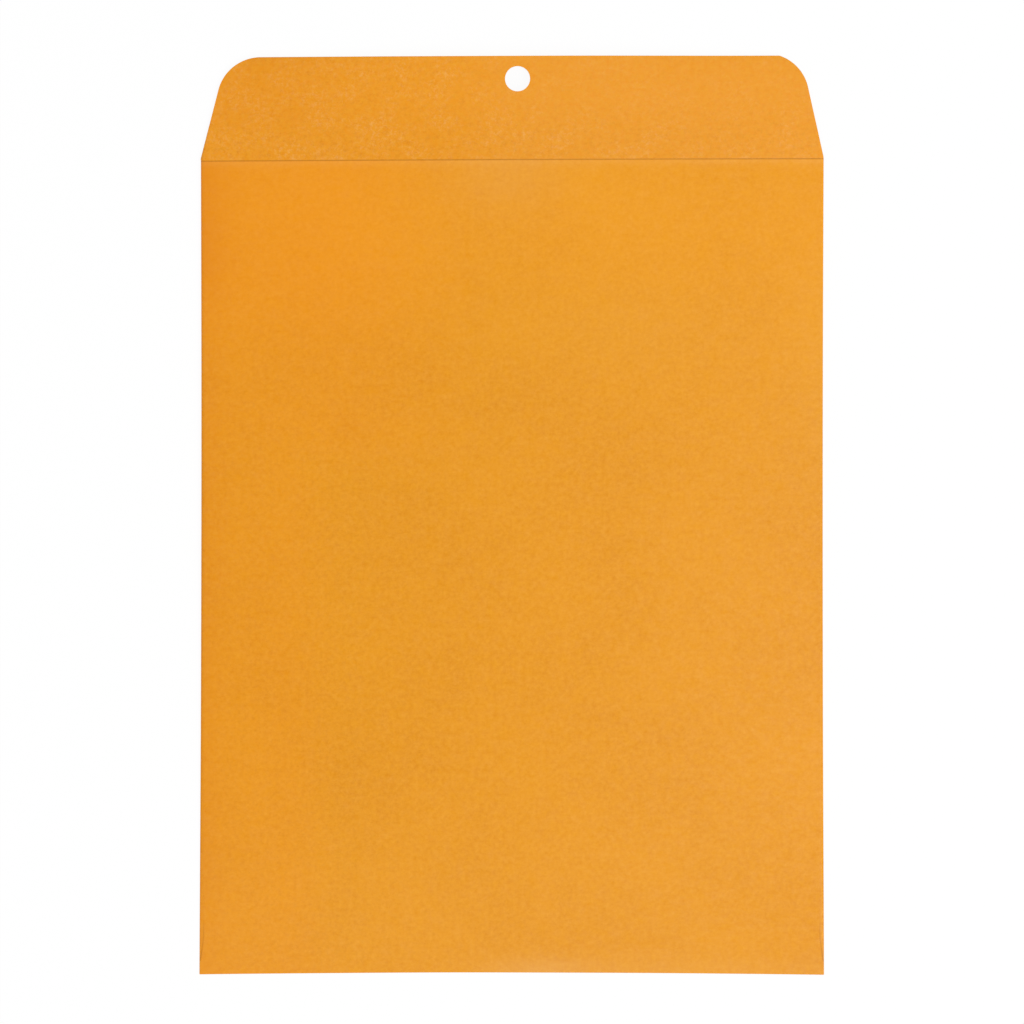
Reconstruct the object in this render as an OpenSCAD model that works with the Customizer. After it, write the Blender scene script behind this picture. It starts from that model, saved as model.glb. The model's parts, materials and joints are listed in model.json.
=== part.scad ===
// Open-end clasp envelope of brown kraft paper, 10 by 13 inches, lying on its back with the flap open.
//
// The envelope is one die-cut blank, folded and glued: a front panel, two side panels that overlap
// in a seam down the back, a bottom flap glued up over both of them, and a top flap with a punched
// hole. The clasp is stamped from one cross-shaped blank: its bar lies between the two layers of the
// seam and its ears come out through two slits, to pass through the hole in the flap and be spread.
//
// X runs across the envelope, Y from the bottom fold to the flap, Z up. The origin lies on the table
// under the middle of the whole outline. Empty, the pocket stands a few millimetres open.

/* [Pocket] */
// Width from side fold to side fold, measured on the flat blank
body_w = 254; // [200:1:320]
// Height from the bottom fold to the crease of the flap
body_h = 330.2; // [240:0.1:400]
// Thickness of the paper
paper_t = 0.16; // [0.1:0.01:0.3]
// Thickness of glue between two layers
glue_t = 0.02; // [0.01:0.01:0.05]

/* [Top flap] */
// Height of the flap above its crease
flap_h = 42.2; // [36:0.1:60]
// Lean of the flap's left edge, from upright, in degrees
flap_lean_left = 14.3; // [5:0.1:25]
// Lean of the flap's right edge, from upright, in degrees
flap_lean_right = 12.4; // [5:0.1:25]
// Radius of the flap's two corners
flap_corner_r = 17.6; // [8:0.1:25]
// How far the right corner's arc would rise past the top edge, which cuts it off in a blunt corner
corner_over = 0.9; // [0:0.1:3]
// How much higher the crease lies at its right end than at its left
crease_skew = 1; // [-3:0.1:3]
// Height of the flap's mid surface over the table, at the two ends of its top edge
tip_z = 1.9; // [1:0.1:4]
// How much higher the middle of the top edge lies than its ends
tip_arch = 3.8; // [0:0.1:6]

/* [Clasp hole] */
// Diameter of the punched hole
hole_d = 10.2; // [8:0.1:14]
// Distance of the hole's centre from the flap's top edge
hole_edge = 9.3; // [8:0.1:11]
// Distance of the hole's centre to the right of the middle
hole_x = 2.1; // [-4:0.1:4]

/* [Back] */
// Place of the middle of the seam, to the right of the middle of the envelope
seam_x = 3; // [-5:0.1:5]
// Width over which the two side panels overlap
seam_overlap = 14; // [12:0.5:22]
// Width in which the upper side panel steps up onto the lower one
seam_jog = 3; // [2:0.5:6]
// Height of the bottom flap
bottom_flap_h = 30; // [20:0.5:45]
// Lean of the bottom flap's two ends, from upright, in degrees
bottom_flap_lean = 30; // [10:1:50]
// Distance from the bottom fold to the lower edge of the side panels
notch_h = 4.6; // [3:0.1:8]
// Width in which the notch in each bottom corner reaches that distance
notch_w = 4; // [2:0.1:8]
// Distance of the back's upper edge below the crease, beside the side folds
throat_side = 3; // [1:0.5:6]
// Distance of the back's upper edge below the crease, at the seam
throat_middle = 12; // [6:0.5:18]

/* [Open pocket] */
// Radius of the side folds at the bottom corners, to the middle of the paper
fold_r_bottom = 0.26; // [0.24:0.01:0.5]
// Radius of the side folds where they are roundest
fold_r_middle = 1.4; // [0.6:0.1:3]
// Radius of the side folds at the crease of the flap
fold_r_throat = 0.8; // [0.5:0.1:2]
// Share of the body's height at which the side folds are roundest
fold_peak = 0.62; // [0.4:0.01:0.8]
// How far the middle of the front panel stands over its sides, halfway up
arch_middle = 4.3; // [1:0.1:8]
// The same at the crease of the flap
arch_throat = 5.2; // [1:0.1:8]
// Height in which the front panel reaches its full arch, from the bottom fold
arch_run = 110; // [60:1:160]
// How far the bottom fold bows in at its middle
bottom_bow = 0.85; // [0:0.05:2]

/* [Clasp] */
// Thickness of the clasp's metal
clasp_t = 0.3; // [0.2:0.01:0.4]
// Length of each ear, from the bend at its slit to its tip
ear_l = 12; // [9:0.1:15]
// Width of each ear
ear_w = 5.6; // [4:0.1:6.5]
// Distance between the two ears' bends, which is the width of the bar between them
bar_w = 4; // [3:0.1:6]
// Length of that bar, up the envelope
bar_l = 14; // [10:0.5:16]
// Height of the rib pressed into each ear
rib_h = 0.25; // [0.1:0.01:0.4]
// Width of that rib where it leaves the ear
rib_w = 1.5; // [1:0.1:2.5]
// Clearance between each ear's bend and the edges of its slit
slit_clearance = 0.25; // [0.1:0.05:0.5]
// Clearance between the clasp and the paper that it lies against
seat_clearance = 0.03; // [0.01:0.01:0.1]

/* [Hidden] */

// Steps of the computed surface across the blank: round a side fold, across the front panel
fold_steps = 6;
front_steps = 20;
// Steps up the blank: along the bottom flap, round the bottom fold, up the top flap, round its corners
tuck_steps = 3;
bend_steps = 4;
flap_steps = 4;
corner_steps = 7;

// The outer layer of the back lies on the bottom flap, and further up on the clasp's ears
layer = paper_t + glue_t;
half_w = body_w / 2;
bottom_y = -(body_h + flap_h) / 2;
hole_up = flap_h - hole_edge;
back_z_bottom = 1.5 * paper_t + glue_t;
back_z_clasp = rib_h + clasp_t + seat_clearance + paper_t / 2;

// Where the clasp sits: as far below the crease as the hole lies above it
clasp_v = body_h - hole_up;
clasp_y = bottom_y + clasp_v;
bar_z = back_z_clasp + paper_t / 2 + seat_clearance;
// Each ear turns down off the bar and out again, in two bends that just clear the paper between
bend_r = paper_t / 2 + seat_clearance;
// The inner layer of the seam rises over the bar, on a flat top with a rim beyond the bar and a
// slope all round
bar_lift = clasp_t + 2 * seat_clearance - glue_t;
lift_rim = [1, 1.5];
lift_x = bar_w / 2 + clasp_t + lift_rim.x;
lift_y = bar_l / 2 + lift_rim.y;
lift_slope = 9;
// Distance from an ear's bend to the start of its rib
rib_start = 1;

// Gap between the edge of the seam's outer layer and the foot of the inner layer's step
jog_gap = 1;
// Width of level flap below the hole
level_rim = 3;

// Blank width of the two side panels; the left one ends on the inside of the seam
left_panel_w = half_w + seam_x + seam_overlap / 2;
right_panel_w = half_w - seam_x + seam_overlap / 2;

function clamp01(q) = max(0, min(1, q));
function mix(a, b, q) = a + (b - a) * q;
function ease(q) = (1 - cos(180 * clamp01(q))) / 2;
function unit(p) = p / max(norm(p), 1e-9);

// Shape of the open pocket, as functions of the height v above the bottom fold
function fold_r(v) =
    v < fold_peak * body_h
        ? mix(fold_r_bottom, fold_r_middle, sin(90 * v / (fold_peak * body_h)))
        : mix(fold_r_throat, fold_r_middle, cos(90 * (v / body_h - fold_peak) / (1 - fold_peak)));
function arch(v) = mix(arch_middle, arch_throat, ease(v / body_h)) * sin(90 * clamp01(v / arch_run));
function back_z(v) =
    mix(back_z_bottom, back_z_clasp, ease((v - bottom_flap_h) / (clasp_v - lift_y - bottom_flap_h)));
// Half the distance between the side folds' centres: the blank's half width, less a quarter turn
// of the fold, less what the arch of the front panel draws in
function half_chord(v) = half_w - PI / 2 * fold_r(v) - 2 / 3 * pow(arch(v), 2) / half_w;

// Height of the inner layer over the outer one at the seam
function inner_lift(x, v) =
    layer * clamp01((x - seam_x + seam_overlap / 2 + jog_gap + seam_jog) / seam_jog)
        + bar_lift
            * clamp01(1 - (abs(x - hole_x) - lift_x) / lift_slope)
            * clamp01(1 - (abs(v - clasp_v) - lift_y) / lift_slope);

// A column of the sheet is [side, zone, value]: on the back the value is the distance from the
// panel's glued edge, round a side fold it is the angle, and across the front the share of the width
function panel_w(side) = side < 0 ? left_panel_w : right_panel_w;
near_seam = [0, 0.33, 0.67, 1] * seam_overlap;
past_seam = [for (d = [-seam_jog, 0, 6, 16]) seam_overlap + jog_gap + seam_jog + d];
function back_columns(side) =
    let (far = past_seam[3], end = panel_w(side) - notch_w)
    concat(near_seam, past_seam, [for (k = [1:4]) mix(far, end, k / 4)]);
left_values = back_columns(-1);
right_values = back_columns(1);
columns = concat(
    [for (e = left_values) [-1, "back", e]],
    [for (k = [0:fold_steps]) [-1, "fold", 180 * k / fold_steps - 90]],
    [for (k = [1:front_steps - 1]) [1, "front", 2 * k / front_steps - 1]],
    [for (k = [0:fold_steps]) [1, "fold", 90 - 180 * k / fold_steps]],
    [for (k = [len(right_values) - 1:-1:0]) [1, "back", right_values[k]]]
);
// The bottom flap and the top flap are as wide as the front panel, from fold line to fold line
first_front = len(left_values) + fold_steps / 2;
last_front = len(columns) - 1 - len(right_values) - fold_steps / 2;

// How far a column lies past its fold line on the blank, where a fold has radius r
function past_fold(c, r) =
    c[1] == "back" ? panel_w(c[0]) - c[2]
    : c[1] == "fold" ? max(0, -c[2] * PI / 180 * r)
    : 0;
// Lower and upper edge of the blank at a column: the corner notch, and the throat
function low_edge(c) = notch_h * clamp01(past_fold(c, fold_r_bottom) / notch_w);
function throat_drop(c) =
    let (p = past_fold(c, fold_r_throat), far = panel_w(c[0]) - notch_w)
    throat_side * clamp01(p / notch_w) + (throat_middle - throat_side) * ease((p - notch_w) / far);
// Rows near the two edges close up where the edge is cut back
low_band = 3 * notch_h;
top_band = hole_up - lift_y;
function row_v(c, v) =
    v < low_band ? mix(low_edge(c), low_band, v / low_band)
    : v > body_h - top_band
        ? mix(body_h - top_band, body_h - throat_drop(c), 1 - (body_h - v) / top_band)
    : v;

function body_y(x, v) =
    bottom_y + v + crease_skew * x / body_w * v / body_h
        + bottom_bow * (1 - pow(x / half_w, 2)) * pow(1 - clamp01(2 * v / body_h), 2);
// The pocket's mid surface at a column, v above the bottom fold
function body_point(c, row) =
    let (v = row_v(c, row), r = fold_r(v), half = half_chord(v), z = back_z(v))
    let (x = c[1] == "back" ? c[0] * (half - panel_w(c[0]) + c[2] + PI / 2 * r)
            : c[1] == "fold" ? c[0] * (half + r * cos(c[2]))
            : half * c[2])
    [
        x,
        body_y(x, v),
        c[1] == "back" ? z + (c[0] < 0 ? inner_lift(x, v) : 0)
        : c[1] == "fold" ? z + r + r * sin(c[2])
        : z + 2 * r + arch(v) * (1 - c[2] * c[2]),
    ];

// Half width of the flap's outline at a height w above the crease: a leaning side, then a corner
// arc that touches it and would rise past the top edge by the given amount
crease_half = half_chord(body_h) + fold_r_throat;
function flap_half(w, lean, over) =
    let (arc_w = flap_h + over - flap_corner_r, touch = arc_w + flap_corner_r * sin(lean))
    let (arc_x = crease_half - touch * tan(lean) - flap_corner_r * cos(lean))
    w < touch
        ? crease_half - w * tan(lean)
        : arc_x + sqrt(max(0, pow(flap_corner_r, 2) - pow(w - arc_w, 2)));
// The top flap's mid surface at a column, w above the crease. It comes down off the crease and runs
// level from below the hole to its top edge
level_w = hole_up - hole_d / 2 - level_rim;
function flap_point(c, w) =
    let (root = body_point(c, body_h), s = root.x / crease_half)
    let (right = flap_half(w, flap_lean_right, corner_over), left = flap_half(w, flap_lean_left, 0))
    [
        mix(-left, right, (1 + s) / 2),
        root.y + w,
        mix(root.z, tip_z + tip_arch * (1 - s * s), sin(90 * clamp01(w / level_w))),
    ];

// Round the bottom fold, by the angle turned, and along the bottom flap, by the distance from the fold
function bend_point(c, angle) =
    let (root = body_point(c, 0), r = (root.z - paper_t / 2) / 2)
    [root.x, root.y - r * sin(angle), paper_t / 2 + r + r * cos(angle)];
function tuck_point(c, w) =
    let (root = body_point(c, 0))
    [root.x * (1 - w * tan(bottom_flap_lean) / half_w), root.y + w, paper_t / 2];

// Rows, from the bottom flap's free edge round the bottom fold and up the front to the flap's tip
notch_rows = [0, 1 / 3, 2 / 3, 1] * notch_h;
arch_rows = [for (k = [1:6]) mix(notch_h, arch_run, pow(k / 6, 1.5))];
clasp_rows = [clasp_v - lift_y - lift_slope, clasp_v - lift_y];
plain_rows = [for (k = [1:5]) mix(arch_run, clasp_rows[0], k / 6)];
throat_rows = [for (k = [0:3]) mix(body_h - top_band, body_h, k / 3)];
corner_w = flap_h - flap_corner_r;
rows = concat(
    [for (k = [tuck_steps:-1:1]) ["tuck", bottom_flap_h * k / tuck_steps]],
    [for (k = [bend_steps:-1:1]) ["bend", 180 * k / bend_steps]],
    [for (v = concat(notch_rows, arch_rows, plain_rows, clasp_rows, throat_rows)) ["body", v]],
    [for (k = [1:flap_steps]) ["flap", corner_w * k / flap_steps]],
    [for (k = [1:corner_steps]) ["flap", corner_w + flap_corner_r * sin(90 * k / corner_steps)]]
);
function sheet_point(i, j) =
    let (c = columns[i], row = rows[j])
    row[0] == "tuck" ? tuck_point(c, row[1])
    : row[0] == "bend" ? bend_point(c, row[1])
    : row[0] == "body" ? body_point(c, row[1])
    : flap_point(c, row[1]);

// The sheet as a grid of cells: a cell is there where the blank has paper
column_count = len(columns);
row_count = len(rows);
first_body = tuck_steps + bend_steps;
last_body = row_count - 1 - flap_steps - corner_steps;
function has_cell(i, j) =
    i >= 0 && i < column_count - 1 && j >= 0 && j < row_count - 1
        && ((j >= first_body && j < last_body) || (i >= first_front && i < last_front));
function has_point(i, j) =
    has_cell(i, j) || has_cell(i - 1, j) || has_cell(i, j - 1) || has_cell(i - 1, j - 1);
grid = [for (i = [0:column_count - 1]) [for (j = [0:row_count - 1]) sheet_point(i, j)]];
// Direction of the sheet at a point, from its neighbours on the paper, each with the same weight
function along(i, j, di, dj) =
    (has_point(i + di, j + dj) ? unit(grid[i + di][j + dj] - grid[i][j]) : [0, 0, 0])
        + (has_point(i - di, j - dj) ? unit(grid[i][j] - grid[i - di][j - dj]) : [0, 0, 0]);
function outward(i, j) = unit(cross(along(i, j, 1, 0), along(i, j, 0, 1)));
function index(i, j, side) = 2 * (i * row_count + j) + side;
sheet_points = [
    for (i = [0:column_count - 1])
        for (j = [0:row_count - 1])
            for (side = [1, -1])
                has_point(i, j) ? grid[i][j] + side * paper_t / 2 * outward(i, j) : grid[i][j]
];
// Two triangles for each cell on either face, and two more for each edge with no cell beyond it
function rim(a, b, c, d) = [[a, b, c], [a, c, d]];
sheet_faces = [
    for (i = [0:column_count - 2])
        for (j = [0:row_count - 2])
            if (has_cell(i, j))
                let (a = index(i, j, 0), b = index(i + 1, j, 0))
                let (c = index(i + 1, j + 1, 0), d = index(i, j + 1, 0))
                for (face = concat(
                    rim(a, d, c, b),
                    rim(a + 1, b + 1, c + 1, d + 1),
                    has_cell(i - 1, j) ? [] : rim(d, a, a + 1, d + 1),
                    has_cell(i + 1, j) ? [] : rim(b, c, c + 1, b + 1),
                    has_cell(i, j - 1) ? [] : rim(a, b, b + 1, a + 1),
                    has_cell(i, j + 1) ? [] : rim(c, d, d + 1, c + 1)
                ))
                    face
];

// The folded blank, with the hole punched through the flap and the clasp's two slits through the
// outer layer of the seam
module envelope_sheet() {
    color("#e99b2e")
    difference() {
        polyhedron(points = sheet_points, faces = sheet_faces, convexity = 10);
        translate([hole_x, body_y(hole_x, body_h) + hole_up, 0])
            cylinder(h = 4 * (tip_z + tip_arch), d = hole_d, $fn = 96);
        for (side = [-1, 1])
            translate([hole_x + side * (bar_w + clasp_t) / 2, clasp_y, bar_z / 2])
                cube([clasp_t + 2 * slit_clearance, ear_w + 2 * slit_clearance, bar_z], center = true);
    }
}

// A quarter turn of the strip that each ear is bent from, about an axis along Y
module quarter_bend(from_angle) {
    rotate([90, 0, 0])
        rotate([0, 0, from_angle])
            rotate_extrude(angle = 90, $fn = 48)
                translate([bend_r, -ear_w / 2])
                    square([clasp_t, ear_w]);
}

// One ear: off the bar, down through its slit and out over the back, to a rounded tip
module ear() {
    start_x = bar_w / 2 + clasp_t + bend_r;
    middle_z = rib_h + clasp_t + bend_r;
    translate([bar_w / 2 - bend_r, 0, middle_z])
        quarter_bend(0);
    translate([start_x, 0, middle_z])
        quarter_bend(180);
    translate([start_x, -ear_w / 2, rib_h])
        cube([ear_l - ear_w / 2, ear_w, clasp_t]);
    translate([start_x + ear_l - ear_w / 2, 0, rib_h])
        cylinder(h = clasp_t, d = ear_w, $fn = 64);
    translate([start_x + rib_start, 0, 0])
        rib(ear_l - ear_w / 2 - rib_start);
}

// The rib that stiffens an ear: a round bar along it that stands out below
module rib(length) {
    rib_r = (pow(rib_w / 2, 2) + rib_h * rib_h) / (2 * rib_h);
    intersection() {
        translate([0, 0, rib_r])
            rotate([0, 90, 0])
                cylinder(h = length, r = rib_r, $fn = 64);
        translate([0, -rib_w / 2, 0])
            cube([length, rib_w, rib_h + clasp_t / 2]);
    }
}

// The bar between the ears, with round ends; it keeps clear of the bends' inner side
module bar() {
    flat_w = bar_w - 2 * bend_r;
    straight_l = bar_l - flat_w;
    translate([0, 0, bar_z]) {
        translate([-flat_w / 2, -straight_l / 2, 0])
            cube([flat_w, straight_l, clasp_t]);
        for (y = [-straight_l / 2, straight_l / 2])
            translate([0, y, 0])
                cylinder(h = clasp_t, d = flat_w, $fn = 64);
    }
}

// The clasp: the bar and its two ears, one stamped piece
module clasp() {
    color("#c9ccd0")
    translate([hole_x, clasp_y, 0]) {
        bar();
        ear();
        mirror([1, 0, 0])
            ear();
    }
}

envelope_sheet();
clasp();
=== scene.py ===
# %% [markdown]
# # A kraft paper envelope, folded in numpy from its flat blank
#
# The object is an open-end envelope, 254 by 330 mm, that lies on its back with the flap open. It is
# one sheet of paper, 0.16 mm thick, and a small stamped clasp on the back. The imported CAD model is
# loaded first and stays where it is: everything below is made in its frame, in metres.

import json
import math

import bpy
import numpy as np
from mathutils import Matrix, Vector

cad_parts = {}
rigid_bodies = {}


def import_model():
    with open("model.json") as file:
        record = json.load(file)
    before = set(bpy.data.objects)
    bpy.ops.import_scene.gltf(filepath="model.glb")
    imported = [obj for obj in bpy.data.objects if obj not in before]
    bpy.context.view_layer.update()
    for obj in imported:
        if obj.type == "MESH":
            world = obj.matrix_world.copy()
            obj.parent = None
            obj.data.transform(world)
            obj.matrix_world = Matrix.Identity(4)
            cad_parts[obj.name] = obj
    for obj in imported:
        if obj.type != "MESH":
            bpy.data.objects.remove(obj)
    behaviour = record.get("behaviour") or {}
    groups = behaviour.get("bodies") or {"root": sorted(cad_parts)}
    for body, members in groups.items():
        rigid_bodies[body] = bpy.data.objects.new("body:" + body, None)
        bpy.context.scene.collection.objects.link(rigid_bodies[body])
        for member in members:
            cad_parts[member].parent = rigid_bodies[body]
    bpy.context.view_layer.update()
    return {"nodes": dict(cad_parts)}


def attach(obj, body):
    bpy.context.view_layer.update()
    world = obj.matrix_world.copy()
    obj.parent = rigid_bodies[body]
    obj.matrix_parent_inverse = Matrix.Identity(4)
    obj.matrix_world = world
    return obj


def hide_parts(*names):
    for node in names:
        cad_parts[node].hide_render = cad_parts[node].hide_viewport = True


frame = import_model()

# %% [markdown]
# ## The numbers of the blank
#
# An envelope is cut flat and then folded, so its maker thinks in the blank. A point of the blank has
# two coordinates in millimetres: `u` across, from the middle of the front panel, and `v` up, from the
# bottom fold. The front panel ends at the side folds, where `u` is plus or minus half the width. The
# two side panels follow beyond them and meet in a seam on the back. On the flap, `w` is the height
# above the crease. The solid of the CAD model has the same sizes.

# %% The blank, in millimetres
MM = 0.001
BODY_W, BODY_H = 254.0, 330.2
HALF_W = BODY_W / 2
PAPER, GLUE = 0.16, 0.02
LAYER = PAPER + GLUE

FLAP_H, FLAP_CORNER_R = 42.2, 17.6
FLAP_LEFT = math.radians(14.3), 0.0, 0.34  # lean of the side, rise of the corner's arc, opening
FLAP_RIGHT = math.radians(12.4), 0.9, 0.12
BOTTOM_Y = -(BODY_H + FLAP_H) / 2

SEAM_X, SEAM_OVERLAP, SEAM_STEP, SEAM_GAP = 3.0, 14.0, 3.0, 1.0
LEFT_PANEL = HALF_W + SEAM_X + SEAM_OVERLAP / 2
RIGHT_PANEL = HALF_W - SEAM_X + SEAM_OVERLAP / 2
BOTTOM_FLAP, BOTTOM_LEAN = 30.0, math.radians(30)
NOTCH_H, NOTCH_W = 4.6, 4.0
THROAT_SIDE, THROAT_MIDDLE = 3.0, 12.0
print(f"blank: {LEFT_PANEL + BODY_W + RIGHT_PANEL:.0f} by {BOTTOM_FLAP + BODY_H + FLAP_H:.1f} mm")

# %% The hole, the clasp and the room that the seam leaves for it, in millimetres
HOLE_X, HOLE_W, HOLE_R = 2.1, 32.9, 5.1
LEVEL_W = HOLE_W - HOLE_R - 3.0  # from this height on the flap is level
CLASP_V = BODY_H - HOLE_W  # as far below the crease as the hole is above it
CLASP_METAL, BAR_W, BAR_L, EAR_W, RIB_H = 0.3, 4.0, 14.0, 5.6, 0.25
SEAT_CLEARANCE, SLIT_CLEARANCE = 0.03, 0.25
LIFT_X, LIFT_Y, LIFT_SLOPE = BAR_W / 2 + CLASP_METAL + 1.0, BAR_L / 2 + 1.5, 9.0
BAR_LIFT = CLASP_METAL + 2 * SEAT_CLEARANCE - GLUE
BACK_LOW = 1.5 * PAPER + GLUE
BACK_HIGH = RIB_H + CLASP_METAL + SEAT_CLEARANCE + PAPER / 2
print(f"clasp {CLASP_V:.1f} mm above the bottom fold, the back there {BACK_HIGH:.2f} mm high")

# %% [markdown]
# ## How the empty pocket stands open
#
# Paper bends in one direction at a time. Across the envelope the front panel is a low arch between
# two side folds, and each fold is half an ellipse: over 1 mm wide where a machine rolled it, flat
# and sharp in the bottom corners where the glued flap presses it shut. All of it changes slowly with
# the height `v`. A simulated cloth could find such a shape, but it would not keep the sizes of the
# solid, so each measure is a small function of `v`.

# %% Helpers for smooth changes
def clamp01(q):
    """q, held between 0 and 1."""
    return np.clip(q, 0.0, 1.0)


def mix(a, b, q):
    """a where q is 0, b where q is 1, and straight in between."""
    return a + (b - a) * q


def ease(q):
    """From 0 to 1 along half a cosine wave, level at both ends."""
    return (1 - np.cos(np.pi * clamp01(q))) / 2


def bell(q):
    """A bell curve: 1 at q = 0, and next to nothing beyond 2."""
    return np.exp(-q * q)


q = np.array([0, 0.5, 1])
print("at 0, 1/2 and 1: ease", ease(q).round(2), "bell", bell(q).round(2))

# %% Measures of the side folds
FOLD_BOTTOM, FOLD_MIDDLE, FOLD_CREASE, FOLD_PEAK = 0.26, 1.4, 0.8, 0.62


def fold_height(v):
    """Half the height of a side fold: a quarter sine up to its roundest place, 0.62 of the way, and a
    quarter cosine down from there to the crease."""
    share = v / BODY_H
    below = mix(FOLD_BOTTOM, FOLD_MIDDLE, np.sin(np.pi / 2 * clamp01(share / FOLD_PEAK)))
    above = mix(FOLD_CREASE, FOLD_MIDDLE, np.cos(np.pi / 2 * clamp01((share - FOLD_PEAK) / (1 - FOLD_PEAK))))
    return np.where(share < FOLD_PEAK, below, above)


def fold_width(v):
    """How far a side fold reaches in from the outline: 1.25 mm along the side, 1.6 mm low down, and
    from there in a straight line to the sharp end of the fold, between 14.5 and 5.5 mm from the bottom."""
    strip = mix(1.6, 1.25, ease((v - 20) / 40))
    return mix(fold_height(v), strip, clamp01((v - 5.5) / 9))


def fold_quarter(v):
    """Length of a quarter of that ellipse: pi / 4 times three times the sum of its two radii, less the
    root of (3 a + r) times (a + 3 r). It is exact for a circle and very close for any ellipse."""
    a, r = fold_width(v), fold_height(v)
    return np.pi / 4 * (3 * (a + r) - np.sqrt((3 * a + r) * (a + 3 * r)))


print(f"a quarter of the fold, halfway up: {fold_quarter(BODY_H / 2):.2f} mm of paper")

# %% Measures of the front, the back and the outline
ARCH_MIDDLE, ARCH_CREASE, ARCH_RUN = 4.3, 5.2, 110.0


def arch(v):
    """Height of the front panel's middle over its sides: it rises along a quarter sine over the first
    110 mm, and goes on rising a little up to the crease."""
    return mix(ARCH_MIDDLE, ARCH_CREASE, ease(v / BODY_H)) * np.sin(np.pi / 2 * clamp01(v / ARCH_RUN))


def back_height(v):
    """Height of the outer layer of the back, on the bottom flap below and on the clasp above."""
    return mix(BACK_LOW, BACK_HIGH, ease((v - BOTTOM_FLAP) / (CLASP_V - LIFT_Y - BOTTOM_FLAP)))


def outline(v):
    """Half the width of the whole envelope: the blank's, less what the round folds and the arch draw in."""
    return HALF_W - (np.pi / 2 - 1) * fold_height(v) - 2 / 3 * arch(v) ** 2 / HALF_W


CREASE_HALF = float(outline(BODY_H))
print("width at the bottom, halfway and at the crease, mm:")
print([round(float(2 * outline(v)), 2) for v in (0.0, 200.0, BODY_H)])

# %% [markdown]
# ## What handling has left on the front panel
#
# A real envelope is never as smooth as its drawing. In the light from the side the front shows a
# shallow hollow below the crease, a rise towards the crease, a faint ridge where the seam behind
# presses through, and a roll over the last few millimetres down to the bottom fold. A bump map could
# shade them, but it would not move the outline or the shadow, so they are real heights in the mesh.

# %% Relief of the front panel and of the crease
def front_relief(x, v):
    """Sum of a hollow 0.9 mm deep, long waves of 0.07 mm, the seam's ridge of 0.05 mm in the lower part
    and a roll of up to 0.3 mm at the bottom. All of them fade to nothing at the side folds."""
    fade = clamp01(1 - (x / HALF_W) ** 2)
    hollow = -0.9 * bell((x + 3) / 70) * bell((v - 284) / 27)
    waves = 0.07 * np.sin(x / 19 + v / 47) * np.sin(v / 23 - x / 61 + 1.1)
    left, right = mix(2.5, 4.5, ease((v - 60) / 20)), mix(11.5, 21.0, ease((v - 60) / 20))
    ridge = 0.05 * ease((x - left + 1.8) / 3.6) * ease((right - x + 1.8) / 3.6)
    ridge = ridge * ease((v - 14) / 8) * ease((136 - v) / 12)
    roll = 0.3 * (1 - np.exp(-v / 2.6)) * np.exp(-v / 60) * (1 - (x / HALF_W) ** 8)
    return fade * (hollow + waves + ridge) + np.maximum(roll, 0)


def crease_relief(v):
    """A pressed groove about 0.3 mm wide and 0.1 mm deep, in the top of a low ridge that the folding
    raised. The ridge falls off within 2 mm on the front panel and slowly on the flap."""
    below, above = np.maximum(0, BODY_H - v), np.maximum(0, v - BODY_H)
    return 0.1 * bell(below / 1.2) * ease(1 - above / 20) - 0.1 * bell((v - BODY_H) / 0.15)


print(f"groove below the ridge beside it: {crease_relief(BODY_H - 0.3) - crease_relief(BODY_H):.2f} mm")

# %% [markdown]
# ## One map from the flat blank to the folded envelope
#
# The sheet could be made of flat plates, one for each panel, but then every fold would be an edge
# where two plates meet. Here one function takes any point of the blank to its place in space. A fold
# is only a place where that function turns quickly, and the paper runs through it without a seam.

# %% The pocket: front panel, side folds and the two back panels
def inner_lift(x, v):
    """How far the inner layer of the seam lies over the outer one: a layer beyond a short step, and
    more over the clasp's bar, on a flat top with a slope all round."""
    step = LAYER * ease((x - SEAM_X + SEAM_OVERLAP / 2 + SEAM_GAP + SEAM_STEP) / SEAM_STEP)
    over_x = ease(1 - (np.abs(x - HOLE_X) - LIFT_X) / LIFT_SLOPE)
    over_y = ease(1 - (np.abs(v - CLASP_V) - LIFT_Y) / LIFT_SLOPE)
    return step + BAR_LIFT * over_x * over_y


def body_y(x, v):
    """v, moved to its place. The crease leans by 1 mm over its length, and over the last 80 mm of the way
    up its ends rise, the right one by 0.48 mm and the left one by half that. The middle of the bottom
    fold is bowed in by 0.85 mm, along a parabola."""
    q = x / HALF_W
    crease = 0.5 * q * v / BODY_H + (0.12 * q + 0.36 * q**2) * ease((v - 250) / 80)
    return BOTTOM_Y + v + crease + 0.85 * (1 - q**2) * (1 - clamp01(2 * v / BODY_H)) ** 2


def pocket(u, v):
    """The front panel is an arch up to each fold, the fold is half an ellipse from its top at +90
    degrees round to its underside at -90, and the back lies flat inside that."""
    side = np.where(u < 0, -1.0, 1.0)
    past = np.abs(u) - HALF_W
    quarter, width, height = fold_quarter(v), fold_width(v), fold_height(v)
    inner = outline(v) - width
    angle = -np.pi / 2 * np.clip(past / quarter, -1, 1)
    across = np.clip(u / (HALF_W - quarter), -1, 1)
    front, back = past < -quarter, past > quarter
    round_fold = inner + width * np.cos(angle) - np.where(back, past - quarter, 0)
    x = np.where(front, inner * across, side * round_fold)
    z = back_height(v) + height * (1 + np.sin(angle))
    z = z + np.where(front, arch(v) * (1 - across**2) + front_relief(x, v) + crease_relief(v), 0)
    z = z + np.where(back & (side < 0), inner_lift(x, v), 0)
    return x, body_y(x, v), z


x, y, z = pocket(np.array([0.0, HALF_W, 250.0]), np.array([165.0] * 3))
print("middle, side fold and back halfway up, mm:", np.round(x, 1), np.round(z, 2))

# %% [markdown]
# The top flap starts in the arched shape of the crease and flattens towards its free edge, because
# the fold across it holds it straight. The bottom flap turns once round the bottom fold and lies flat.

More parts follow.
